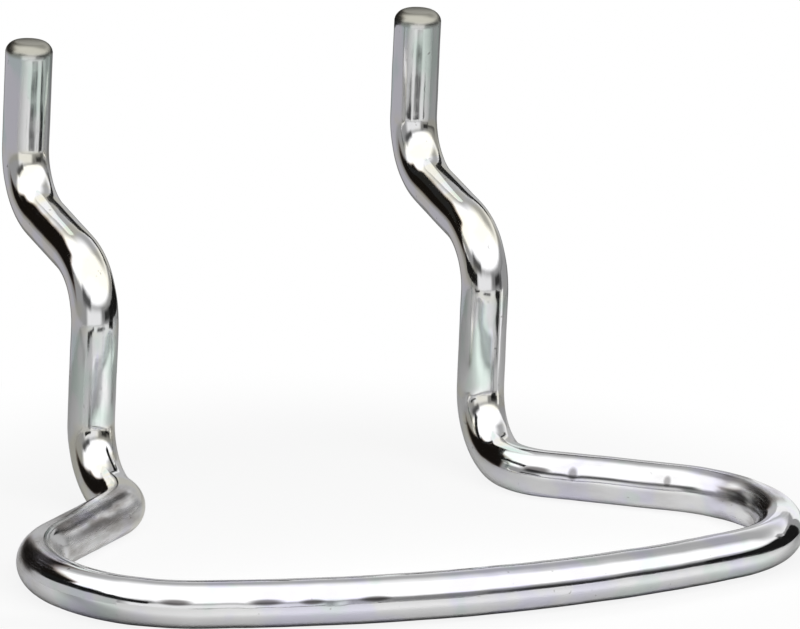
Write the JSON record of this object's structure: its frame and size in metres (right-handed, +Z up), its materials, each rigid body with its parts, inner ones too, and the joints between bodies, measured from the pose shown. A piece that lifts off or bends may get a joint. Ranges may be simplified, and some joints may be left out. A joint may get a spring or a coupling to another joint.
{
  "type": "pegboard hook",
  "caption": "Bent-wire pegboard hook: prongs catch behind the board, short legs lie on its face, and a flared loop with a bowed front bar holds hand tools.",
  "frame": {"origin": "on the face of the board, level with the cranks and midway between the board holes", "axes": "+X to the right along the row of holes, +Y through the board towards its back, +Z up the prongs"},
  "size_m": [0.049, 0.0411, 0.0255],
  "materials": {
    "zinc_plated_wire": "bright zinc plating over drawn steel wire"
  },
  "bodies": {
    "root": {"wire_hook": "zinc_plated_wire"}
  },
  "joints": []
}
